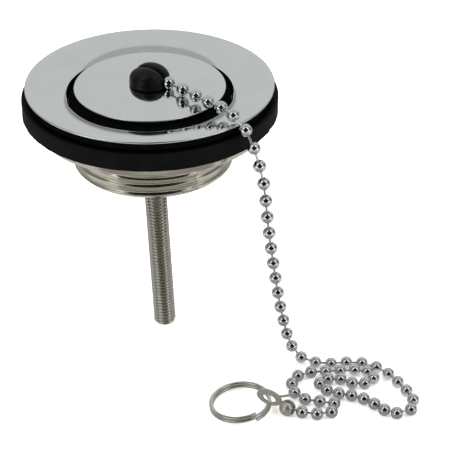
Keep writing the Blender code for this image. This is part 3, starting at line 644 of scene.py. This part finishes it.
class DRAIN_OT_stage(bpy.types.Operator):
    """Camera, white surroundings, soft lamps and the pale floor"""
    bl_idname = "drain.stage"
    bl_label = "Stage"

    def execute(self, context):
        scene = context.scene
        scene.view_settings.view_transform = "Standard"
        aim_camera((-0.0005, -0.367514, 0.188136), pitch=0.559, yaw=0.0463, roll=-0.0278,
                   focal_pixels=1600.0)
        scene.world = studio_world()
        soft_light("lamp_left", (-0.5, -0.35, 0.55), (0, 0, -0.03), size=0.5, power=4.5)
        soft_light("lamp_right", (0.55, -0.25, 0.5), (0.02, -0.02, -0.03), size=0.5, power=3.5)
        soft_light("lamp_top", (0.0, 0.25, 0.8), (0, 0, -0.03), size=0.6, power=4.0)
        span = np.array((-1.5, 1.5))
        x, y = np.meshgrid(span, span)
        corners = np.stack([x, y, np.full_like(x, FLOOR)], axis=-1).reshape(-1, 3)
        mesh = bpy.data.meshes.new("floor")
        mesh.from_pydata(corners.tolist(), [], [(0, 1, 3, 2)])
        floor = bpy.data.objects.new("floor", mesh)
        scene.collection.objects.link(floor)
        floor.data.materials.append(floor_material())
        return {"FINISHED"}


# Flange and grid


def face_corners(rim, top, inset, count):
    """Unrounded corners along the plate's face, from the throat's lip out to its edge.

    With u the distance from the lip, the slope is fall / (u + turn), and a term steep exp(-u / bend)
    for the lip's own bend. The height is their integral, fall log(1 + u / turn) and
    steep bend (1 - exp(-u / bend)), shifted to end at the top. The surface under the sheet lies
    an inset along the curve's normal.
    """
    lip, edge, fall, turn, steep, bend = 21.5, 0.9, 1.3, 1.9, 0.2, 0.35
    outward = np.linspace(0.0, 1.0, count) ** 1.6 * (rim - edge - lip)
    slope = fall / (outward + turn) + steep * np.exp(-outward / bend)
    climb = fall * np.log(1.0 + outward / turn) + steep * bend * (1.0 - np.exp(-outward / bend))
    tilt = np.hypot(1.0, slope)
    radius = lip + outward + inset * slope / tilt
    height = top + climb - climb[-1] - inset / tilt
    return np.stack([radius, height, 0 * radius], axis=-1).tolist()


class DRAIN_OT_flange(bpy.types.Operator):
    """Polished flange plate with its throat, and the grid inside it"""
    bl_idname = "drain.flange"
    bl_label = "Flange and grid"

    def execute(self, context):
        sizes, finish = context.scene.drain_sizes, context.scene.drain_finish
        rim = sizes.plate_radius / MM
        top = sizes.plate_height / MM
        outline = rounded_profile([
            (18.4, -9.8, 0.2), (20.2, -9.8, 0.5), (20.2, -5.9, 3.0),
            *face_corners(rim, top, 0.0, 40), (rim, top, 0.3), (rim, 1.8, 0.2),
            *face_corners(rim, top, 0.6, 20)[::-1], (21.0, -5.9, 3.0), (21.0, -10.6, 0.5),
            (18.4, -10.6, 0.2)], 9)
        make_piece("polished_flange", [(revolved(outline, 256), True)], mirror_steel(finish),
                   "drain", ["flange_plate"])
        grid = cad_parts["strainer_grid"]
        grid.data.materials.clear()
        grid.data.materials.append(metal(
            "pressed_steel", finish.polished, 0.16, smear=0.08, depth=0.002 * MM, tint=0.15,
            grain=7000.0))
        return {"FINISHED"}


class DRAIN_OT_seals(bpy.types.Operator):
    """Thin top seal, and the thick gasket with its moulding flash"""
    bl_idname = "drain.seals"
    bl_label = "Seals"

    def execute(self, context):
        finish = context.scene.drain_finish
        seal = rounded_profile([(27.1, 0.0, 0.1), (31.7, 0.0, 0.25), (31.7, 1.6, 0.25),
                                (27.1, 1.1, 0.1)], 6)
        make_piece("thin_seal", [(revolved(seal, 192), True)], matt_rubber(finish), "drain",
                   ["top_seal"])
        # Painted shade: the gasket's top, where it meets the thin seal, is painted near black
        charcoal = rubber("charcoal_rubber", finish.gasket, 0.50, bloom=0.0015, depth=0.012 * MM,
                          shine=0.05, painted_shade_above=-0.5 * MM)
        outline = dense_outline(rounded_profile([
            (23.0, -5.2, 0.3), (32.85, -5.2, 0.12), (33.02, -5.0, 0.1), (32.95, -4.75, 0.1),
            (33.0, -0.3, 0.7), (23.0, -0.3, 0.4)], 6), 0.45 * MM)
        make_piece("thick_gasket", [(ragged_flash(revolved(outline, 360)), True)], charcoal,
                   "clamp", ["sink_gasket"])
        return {"FINISHED"}


def ragged_flash(grid):
    """Pulls the lower outer edge in and out by a sum of sines of the angle, and adds short nicks.

    A nick has its place and width in radians and its depth in millimetres: depth exp(-(d / width)^2)
    at an angle d from its place.
    """
    radius, angle = round_axis(grid)
    near_edge = fade(radius, 32.4 * MM, 32.9 * MM) * (1.0 - fade(grid[..., 2], -5.1 * MM, -4.6 * MM))
    wave = (np.sin(23 * angle + 0.7) + np.sin(41 * angle + 2.1) + 0.7 * np.sin(89 * angle)) * 0.03
    nicks = np.zeros_like(angle)
    for place, width, depth in ((-2.16, 0.012, 0.2), (-2.02, 0.008, 0.14), (-1.02, 0.012, 0.22),
                                (-0.42, 0.02, 0.16), (-1.62, 0.01, 0.1), (0.9, 0.02, 0.18),
                                (2.3, 0.015, 0.2)):
        nicks += depth * np.exp(-((angle - place) / width) ** 2)
    return stretched(grid, near_edge * (wave - nicks) * MM)


# Waste body


class DRAIN_OT_waste_body(bpy.types.Operator):
    """Satin cup with its pipe-threaded collar, and the tapped bridge across it"""
    bl_idname = "drain.waste_body"
    bl_label = "Waste body"

    def execute(self, context):
        sizes, finish = context.scene.drain_sizes, context.scene.drain_finish
        nickel = metal("turned_nickel", finish.nickel, 0.11, smear=0.04, depth=0.0008 * MM,
                       tint=0.06, grain=16000.0)
        outline = dense_outline(rounded_profile([
            (30.4, -5.5, 0.3), (30.4, -8.0, 0.7), (21.5, -13.45, 0.12), (21.4, -13.65, 0.1),
            (20.5, -13.85, 0.05), (20.5, -14.0, 0.05), (20.95, -14.65, 0.1), (20.95, -19.3, 0.3),
            (20.0, -20.35, 0.2), (17.8, -20.35, 0.3), (17.8, -14.0, 0.8), (19.9, -12.4, 0.8),
            (28.9, -8.2, 0.8), (28.9, -5.5, 0.3)], 6), 0.12 * MM)
        grid = threaded(revolved(outline, 224), 20.9 * MM, sizes.pipe_pitch, sizes.pipe_depth)
        grid = grid + np.array((0.4 * MM, 0.0, 0.0))
        make_piece("threaded_cup", [(grid, True)], nickel, "clamp",
                   ["waste_body"], 50.0)
        self.bridge(nickel)
        return {"FINISHED"}

    def bridge(self, nickel):
        """Bar with a rounded-box section across the bore, and a boss round the leaning hole."""
        half_length = 18.2
        x = np.linspace(-half_length, half_length, 40) * MM
        path = np.stack([x, 0 * x, 0 * x + BRIDGE_LEVEL], axis=-1)
        bar = swept(path, 8.0 * MM, 1.8 * MM, UP, 9.0, 40)
        ring = rounded_profile([(3.05, -2.1, 0.2), (5.6, -2.1, 0.5), (5.6, 2.1, 0.5),
                                (3.05, 2.1, 0.2)], 6)
        boss = leaned(revolved(ring, 72), BOSS_DROP)
        make_piece("tapped_boss", [(boss, True)], nickel, "clamp", ())
        make_piece("cross_bar", [(bar, False)], nickel, "clamp", ())


def threaded(grid, from_radius, pitch, depth):
    """Cuts a right-handed helix into what lies near or outside from_radius, below the cone.

    The radius falls by depth times the thread's form of (height / pitch - angle / full turn).
    """
    crest_level, run_out_low, run_out_high = -17.16 * MM, -15.0 * MM, -14.7 * MM
    radius, angle = round_axis(grid)
    height = grid[..., 2]
    outside = fade(radius, from_radius - 1.3 * MM, from_radius - 0.2 * MM)
    run_out = 1.0 - fade(height, run_out_low, run_out_high)
    turns = (height - crest_level) / pitch - (angle + 0.5 * math.pi) / TAU
    return stretched(grid, -outside * run_out * thread_form(turns, 0.42, 0.12) * depth)


def leaned(grid, drop):
    """Puts a shape made round the upright axis onto the leaning screw's axis, below its pivot."""
    cos, sin = math.cos(SCREW_LEAN), math.sin(SCREW_LEAN)
    x, z = grid[..., 0], grid[..., 2] + drop
    return np.stack([x * cos - z * sin, grid[..., 1], x * sin + z * cos], axis=-1) + SCREW_PIVOT


# Centre screw


class DRAIN_OT_centre_screw(bpy.types.Operator):
    """Long screw with a rolled thread and a slotted pan head"""
    bl_idname = "drain.centre_screw"
    bl_label = "Centre screw"

    def execute(self, context):
        sizes, finish = context.scene.drain_sizes, context.scene.drain_finish
        steel = metal("screw_steel", finish.steel, 0.15, smear=0.06, depth=0.001 * MM, tint=0.12,
                      scale=900.0)
        head_height, depth, point = 2.26 * MM, 0.52 * MM, 0.75 * MM
        seat = (SCREW_HIGH.z - SCREW_PIVOT[2]) - head_height
        tip = seat - SCREW_LENGTH
        rows = np.linspace(tip, seat, 980)
        angle = np.linspace(0.0, TAU, 64, endpoint=False)
        height = rows[:, None] + 0 * angle
        turns = height / sizes.screw_pitch - angle / TAU
        start = fade(height, tip, tip + 0.5 * MM)
        end = 1.0 - fade(height, seat - 2.5 * MM, seat - 1.8 * MM)
        radius = sizes.screw_radius - depth * thread_form(turns, 0.1, 0.1) * end * start
        radius -= point * (1.0 - np.clip((height - tip) / (0.8 * MM), 0.0, 1.0))
        shank = np.stack([radius * np.cos(angle), radius * np.sin(angle), height], axis=-1)
        make_piece("threaded_shank", [(leaned(shank, 0.0), False)], steel, "screw",
                   ["centre_screw"], 60.0)
        make_piece("pan_head", [(leaned(self.head(seat), 0.0), True)], steel, "screw",
                   (), 30.0)
        return {"FINISHED"}

    def head(self, seat):
        """Pan head: height 2 mm (1 - (r / 6.35 mm)^4)^0.5 over a flat seat, with a slot along x."""
        radius = np.concatenate([np.linspace(0.02, 5.9, 90), np.linspace(5.9, 6.0, 6)[1:]]) * MM
        angle = np.linspace(0.0, TAU, 180, endpoint=False)
        dome = 2.0 * MM * np.sqrt(np.maximum(0.0, 1.0 - (radius / (6.35 * MM)) ** 4))
        x, y = radius[:, None] * np.cos(angle), radius[:, None] * np.sin(angle)
        slot = 1.0 - fade(np.abs(y), 0.72 * MM, 0.80 * MM)
        top = np.minimum(dome[:, None] + 0 * y, 2.0 * MM - 1.1 * MM * slot) + seat
        upper = np.stack([x, y, top], axis=-1)
        lower = np.stack([x[::-1], y[::-1], np.full_like(x, seat)], axis=-1)
        return np.concatenate([upper, lower])


# Plug


class DRAIN_OT_plug(bpy.types.Operator):
    """Polished disc and the rubber stopper under it"""
    bl_idname = "drain.plug"
    bl_label = "Plug"

    def execute(self, context):
        finish = context.scene.drain_finish
        middle, outer = 5.2, 13.4
        out = np.linspace(outer, middle, 24)
        swell = np.stack([out, 1.4 + 0.5 * (1.0 - fade(out, middle, outer)), 0 * out], axis=-1)
        disc = rounded_profile([
            (2.9, 0.75, 0.2), (19.35, 0.75, 0.1), (19.58, 1.4, 0.2), *swell.tolist(),
            (2.9, 1.9, 0.1)], 10)
        make_piece("plug_disc", [(revolved(disc, 224), True)], mirror_steel(finish), "plug",
                   ["plug_cap"])
        stopper = rounded_profile([
            (2.9, -2.05, 0.2), (15.4, -2.05, 0.5), (15.4, -4.65, 0.4), (17.6, -4.65, 0.5),
            (18.5, -3.65, 0.6), (20.8, -2.15, 0.3), (20.88, -1.0, 0.3), (19.0, -0.7, 0.25),
            (19.0, 0.65, 0.15), (2.9, 0.65, 0.2)], 7)
        make_piece("rubber_stopper", [(revolved(stopper, 192), True)], matt_rubber(finish),
                   "plug", ["plug_seal"])
        return {"FINISHED"}


class DRAIN_OT_chain_knob(bpy.types.Operator):
    """Two-lobed rubber knob that grips the chain's first balls"""
    bl_idname = "drain.chain_knob"
    bl_label = "Chain knob"

    def execute(self, context):
        finish = context.scene.drain_finish
        black = rubber("knob_rubber", finish.rubber, 0.34, bloom=0.002, depth=0.006 * MM, shine=0.22)
        make_piece("split_knob", [(self.dome(), False)], black, "knob",
                   ["chain_knob"], 60.0)
        stem = rounded_profile([
            (0.01, -3.85, 0.0), (2.6, -3.85, 0.3), (4.4, -2.85, 0.3), (4.4, -2.35, 0.2),
            (2.6, -2.35, 0.2), (2.6, 2.3, 0.1), (0.01, 2.3, 0.0)], 6)
        make_piece("knob_stem", [(revolved(stem, 96), True)], black, "knob",
                   ())
        return {"FINISHED"}

    def dome(self):
        """Round the middle, the distance in each direction is that of a dome.

        Above the middle it is an ellipsoid, and below it (r / radius)^8 + (z / foot)^8 = 1, which
        gives the upright side and the flat foot, spread a little. Two terms exp(-(d / w)^2) of the
        distance d from the slot's plane cut the slot and round its shoulders, and the ball in the
        slot's mouth presses its own hollow.
        """
        centre = UP * 3.5 * MM
        radius, top, foot, spread, hollow = 5.2, 3.74, 1.59, 0.15, 1.78
        polar = np.concatenate([np.linspace(0.001, 1.75, 150), np.linspace(1.75, 3.14, 60)[1:]])
        polar = polar[:, None]
        angle = np.linspace(0.0, TAU, 240, endpoint=False)[None, :]
        ray = np.stack([np.sin(polar) * np.cos(angle), np.sin(polar) * np.sin(angle),
                        np.cos(polar) + 0 * angle], axis=-1)
        wide = np.sin(polar) / ((radius + spread * fade(polar, 1.57, 1.9)) * MM) + 0 * angle
        upper = np.sqrt(wide ** 2 + (ray[..., 2] / (top * MM)) ** 2)
        lower = (wide ** 8 + (np.abs(ray[..., 2]) / (foot * MM)) ** 8) ** 0.125
        reach = 1.0 / np.where(ray[..., 2] > 0, upper, lower)
        trapped, mouth = BALLS[:2]
        along = unit((mouth - trapped)[:2])
        place = centre + ray * reach[..., None]
        away = (place[..., 0] - trapped[0]) * -along[1] + (place[..., 1] - trapped[1]) * along[0]
        cut = 2.6 * np.exp(-(away / (0.45 * MM)) ** 2) + 0.6 * np.exp(-(away / (1.4 * MM)) ** 2)
        reach = reach - cut * MM * fade(place[..., 2], 2.5 * MM, 3.4 * MM)
        reach = np.maximum(reach, 0.6 * MM)
        toward = mouth - centre
        ahead = ray @ toward
        inside = (hollow * MM) ** 2 - (toward @ toward - ahead ** 2)
        near = ahead - np.sqrt(np.maximum(inside, 0.0))
        reach = np.where((inside > 0) & (ahead > 0), np.minimum(reach, near), reach)
        return centre + ray * reach[..., None]


# Chain


class DRAIN_OT_bead_chain(bpy.types.Operator):
    """Hollow balls on short pins, from the knob down to the pile on the floor"""
    bl_idname = "drain.bead_chain"
    bl_label = "Bead chain"

    def execute(self, context):
        sizes, finish = context.scene.drain_sizes, context.scene.drain_finish
        chrome = metal("bright_plate", finish.chrome, 0.07, smear=0.05, depth=0.001 * MM,
                       tint=0.05, scale=600.0)
        balls = self.balls(BALLS, sizes.bead_radius)
        pins = self.pins(BALLS, sizes.link_radius)
        parts = [(grid, False) for grid in (*balls, *pins)]
        make_piece("bead_chain", parts, chrome, "knob",
                   ["chain_over_flange", "chain_hanging", "chain_pile_outer",
                    "chain_pile_inner", "chain_pile_end"], 40.0)
        return {"FINISHED"}

    def balls(self, middles, size):
        """A sphere with a sunk hole at each end, turned round the chain's direction at each middle."""
        tilt = np.radians(np.linspace(24.0, 156.0, 18))
        outline = np.stack([size * np.sin(tilt), size * np.cos(tilt)], axis=-1)
        hole = np.array(((0.0, 0.80), (0.30, 0.80), (0.34, 0.90))) * size
        flipped = hole[::-1] * (1.0, -1.0)
        outline = np.concatenate([hole, outline, flipped])
        ring = revolved(outline, 24)
        ahead = np.gradient(middles, axis=0)
        ahead /= np.linalg.norm(ahead, axis=1)[:, None]
        turn = np.stack([*square_to(ahead), ahead], axis=1)
        return np.einsum("rca,nab->nrcb", ring, turn) + middles[:, None, None, :]

    def pins(self, middles, size):
        """A round pin from each ball into the next. It stops an inset short of both middles."""
        inset = 1.1 * MM
        start = middles[:-1]
        ahead = middles[1:] - start
        gap = np.linalg.norm(ahead, axis=1)[:, None]
        ahead = ahead / gap
        across, over = square_to(ahead)
        angle = np.linspace(0.0, TAU, 12, endpoint=False)[None, :, None]
        ends = np.concatenate([np.full_like(gap, inset), gap - inset], axis=1)
        line = start[:, None, :] + ahead[:, None, :] * ends[..., None]
        circle = (across[:, None, :] * np.cos(angle) + over[:, None, :] * np.sin(angle)) * size
        return line[:, :, None, :] + circle[:, None, :, :]


class DRAIN_OT_end_ring(bpy.types.Operator):
    """Folded connector round the chain's last ball, and the split ring through its eye"""
    bl_idname = "drain.end_ring"
    bl_label = "Connector and ring"

    def execute(self, context):
        sizes, finish = context.scene.drain_sizes, context.scene.drain_finish
        zinc = metal("dull_zinc", finish.zinc, 0.42, smear=0.06, depth=0.001 * MM, tint=0.08,
                     scale=700.0)
        wire = metal("bright_zinc", finish.zinc, 0.11, smear=0.04, depth=0.001 * MM, tint=0.08,
                     scale=700.0)
        connector = make_piece(
            "folded_connector",
            [(self.eye(), True), (self.bowl(), True), (self.neck(), False),
             (self.spare_leaf(), False)],
            zinc, "connector", ["chain_connector"], 50.0)
        ring = make_piece(
            "wound_ring", [(self.coil(sizes.ring_radius, sizes.ring_turns), False)],
            wire, "ring", ["split_ring"], 50.0)
        return {"FINISHED"}

    def eye(self):
        """Flat round tab turned to face EYE_NORMAL, with more metal above its hole than below."""
        hole, rim, half, fillet, shift = 1.75, 3.45, 0.25, 0.12, 0.45 * MM
        outline = rounded_profile([(hole, -half, fillet), (rim, -half, fillet), (rim, half, fillet),
                                   (hole, half, fillet)], 5)
        across, over, normal = facing(EYE_NORMAL)
        tab = revolved(outline, 72)
        edge = fade(round_axis(tab)[0], 2.2 * MM, 3.0 * MM)
        tab[..., 1] += shift * edge
        return tab @ np.stack([across, over, normal]) + EYE_MIDDLE

    def bowl(self):
        """Hollow ball with a small hole on top, and a notch for the swing of the chain's last pin.

        Its rim's angle from the bottom is full, less dip exp(-(d / spread)^8) at an angle of d
        from the notch's middle, which lies turned from the pin's way out.
        """
        outside, inside, lip_size = 2.15 * MM, 1.8 * MM, 1.97 * MM
        full, dip, spread, turned = math.radians(163.0), math.radians(105.0), 0.62, 0.305
        angle = np.linspace(0.0, TAU, 96, endpoint=False)[None, :]
        exit_way = BALLS[-2] - CUP_MIDDLE
        off = (angle - math.atan2(exit_way[1], exit_way[0]) + turned + math.pi) % TAU - math.pi
        rim = full - dip * np.exp(-(off / spread) ** 8)
        part = np.linspace(0.002, 1.0, 36)[:, None]
        polar = part * rim
        ray = np.stack([np.sin(polar) * np.cos(angle), np.sin(polar) * np.sin(angle),
                        -np.cos(polar)], axis=-1)
        lip = ray[-1:] * lip_size + (ray[-1:] - ray[-2:-1]) * 0.9 * MM
        return np.concatenate([ray * outside, lip, ray[::-1] * inside]) + CUP_MIDDLE

    def neck(self):
        """Narrow straight strip from the tab to the bowl's wall."""
        toward = CUP_MIDDLE - EYE_MIDDLE
        normal = unit(EYE_NORMAL)
        start = EYE_MIDDLE + unit(toward - normal * (toward @ normal)) * 2.6 * MM
        end = CUP_MIDDLE - unit(CUP_MIDDLE - start) * 1.9 * MM
        part = np.linspace(0.0, 1.0, 16)[:, None]
        return swept(start * (1 - part) + end * part, 0.5 * MM, 1.6 * MM, UP, 5.0, 24)

    def spare_leaf(self):
        """Second leaf of the fold, behind the tab: a strip along a quadratic curve and a sine wave."""
        across, over, _ = facing(EYE_NORMAL)
        side = across if across[0] > 0 else -across
        start = EYE_MIDDLE + side * 1.9 * MM + over * 1.6 * MM
        middle = np.array((34.0 * MM, -40.7 * MM, FLOOR + 3.9 * MM))
        end = np.array((35.4 * MM, -39.9 * MM, FLOOR + 3.1 * MM))
        part = np.linspace(0.0, 1.0, 30)[:, None]
        control = 2 * middle - 0.5 * (start + end)
        path = start * (1 - part) ** 2 + 2 * control * part * (1 - part) + end * part ** 2
        path = path + UP * np.sin(part * TAU) * -0.18 * MM
        return swept(path, 0.32 * MM, 0.7 * MM, UP, 5.0, 24)

    def coil(self, radius, turns):
        """Flattened wire on a helix, (R cos t, R sin t, rise t / full turn), tilted about the eye."""
        away = unit(EYE_MIDDLE[:2] - RING_PLACE)
        radial = np.array((*away, 0.0))
        wire = np.array((-away[1], away[0], 0.0))
        turned = np.linspace(0.0, TAU * turns, 90 * turns + 1)[:, None]
        angle = turned + math.radians(300.0)
        rise, sag = 0.95 * MM, 0.3 * MM
        along = radius * (np.cos(angle) - 1.0)
        aside = radius * np.sin(angle)
        upward = rise * (turned / TAU - turns / 2)
        cos, sin = math.cos(-RING_TILT), math.sin(-RING_TILT)
        path = (radial * (along * cos + upward * sin) + wire * aside
                + UP * (upward * cos - along * sin))
        return swept(path + EYE_MIDDLE - UP * sag, 0.92 * MM, 0.82 * MM, UP * cos + radial * sin,
                     3.2, 18)


class DRAIN_PT_panel(bpy.types.Panel):
    """Lists the steps that dress the drain"""
    bl_idname = "DRAIN_PT_panel"
    bl_label = "Sink drain"
    bl_space_type = "VIEW_3D"
    bl_region_type = "UI"
    bl_category = "Drain"

    def draw(self, context):
        for operator in OPERATORS:
            self.layout.operator(operator.bl_idname)
        for group in (context.scene.drain_sizes, context.scene.drain_finish):
            for name in group.__annotations__:
                self.layout.prop(group, name)


OPERATORS = (DRAIN_OT_stage, DRAIN_OT_bead_chain, DRAIN_OT_end_ring, DRAIN_OT_flange, DRAIN_OT_seals,
             DRAIN_OT_waste_body, DRAIN_OT_centre_screw, DRAIN_OT_plug, DRAIN_OT_chain_knob)


def register():
    for kind in (DrainSizes, DrainFinish, *OPERATORS, DRAIN_PT_panel):
        bpy.utils.register_class(kind)
    bpy.types.Scene.drain_sizes = PointerProperty(type=DrainSizes)
    bpy.types.Scene.drain_finish = PointerProperty(type=DrainFinish)


def unregister():
    del bpy.types.Scene.drain_finish
    del bpy.types.Scene.drain_sizes
    for kind in reversed((DrainSizes, DrainFinish, *OPERATORS, DRAIN_PT_panel)):
        bpy.utils.unregister_class(kind)


def main():
    register()
    for operator in OPERATORS:
        group, name = operator.bl_idname.split(".")
        getattr(getattr(bpy.ops, group), name)()


if __name__ == "__main__":
    main()
